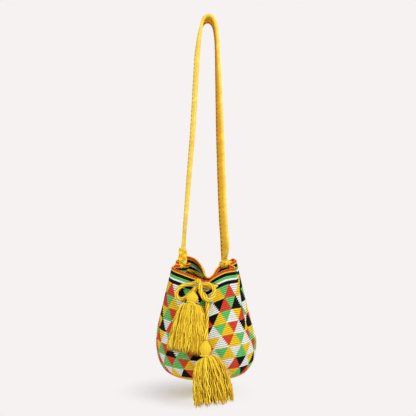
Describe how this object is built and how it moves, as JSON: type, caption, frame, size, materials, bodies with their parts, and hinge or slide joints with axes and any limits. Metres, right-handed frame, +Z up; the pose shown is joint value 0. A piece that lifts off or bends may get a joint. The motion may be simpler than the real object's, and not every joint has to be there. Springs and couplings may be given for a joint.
{
  "type": "wayuu mochila bag",
  "caption": "Rounded crocheted drawstring bag with a long woven shoulder strap, a gathered mouth, a cord tied in a bow and yarn tassels.",
  "frame": {"origin": "underside of the strap at the point where the bag hangs", "axes": "+Z up along the hanging bag, -Y towards the front with the bow and tassels, +X to the viewer's right"},
  "size_m": [0.219, 0.265, 0.8275],
  "materials": {
    "crochet": "matt crocheted cotton in black, white, red, green and yellow",
    "strap_yarn": "matt woven cotton",
    "cord_yarn": "soft twisted cotton",
    "loose_yarn": "loose cotton strands"
  },
  "bodies": {
    "root": {"bag_body": "crochet", "strap_band": "strap_yarn", "strap_lashing_left": "strap_yarn", "strap_lashing_right": "strap_yarn", "drawstring": "cord_yarn", "upper_tassel_head": "cord_yarn", "upper_tassel_tie": "cord_yarn", "upper_tassel_skirt": "loose_yarn", "lower_tassel_head": "cord_yarn", "lower_tassel_tie": "cord_yarn", "lower_tassel_skirt": "loose_yarn"}
  },
  "joints": []
}
